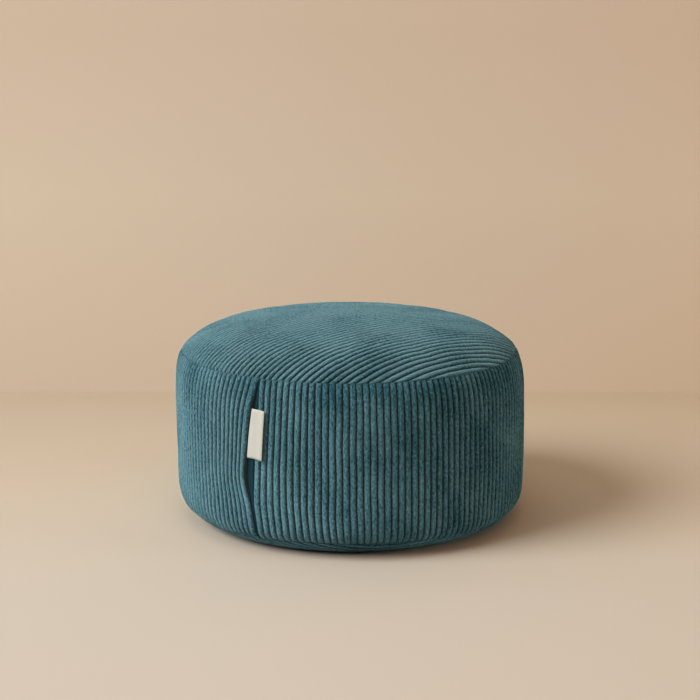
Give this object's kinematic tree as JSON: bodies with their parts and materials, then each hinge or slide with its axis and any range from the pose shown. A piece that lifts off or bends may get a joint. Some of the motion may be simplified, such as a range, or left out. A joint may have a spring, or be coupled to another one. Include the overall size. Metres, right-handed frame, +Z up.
{
  "type": "meditation cushion",
  "caption": "Round drum-shaped floor cushion in wide-ribbed corduroy, firmly filled, with a crowned top, sewn edge seams, a side opening with a folded hem and a bare ribbon label.",
  "frame": {"origin": "on the floor under the middle of the cushion, at the centre of the flat part of its base", "axes": "+Z up from the floor through the crown, -Y towards the front, +X to the right of someone facing the front"},
  "size_m": [0.3307, 0.33, 0.1914],
  "materials": {
    "corduroy": "matt velvety pile in wide upright ribs",
    "woven_tape": "matt woven cotton tape"
  },
  "bodies": {
    "root": {"cushion": "corduroy", "label": "woven_tape"}
  },
  "joints": []
}
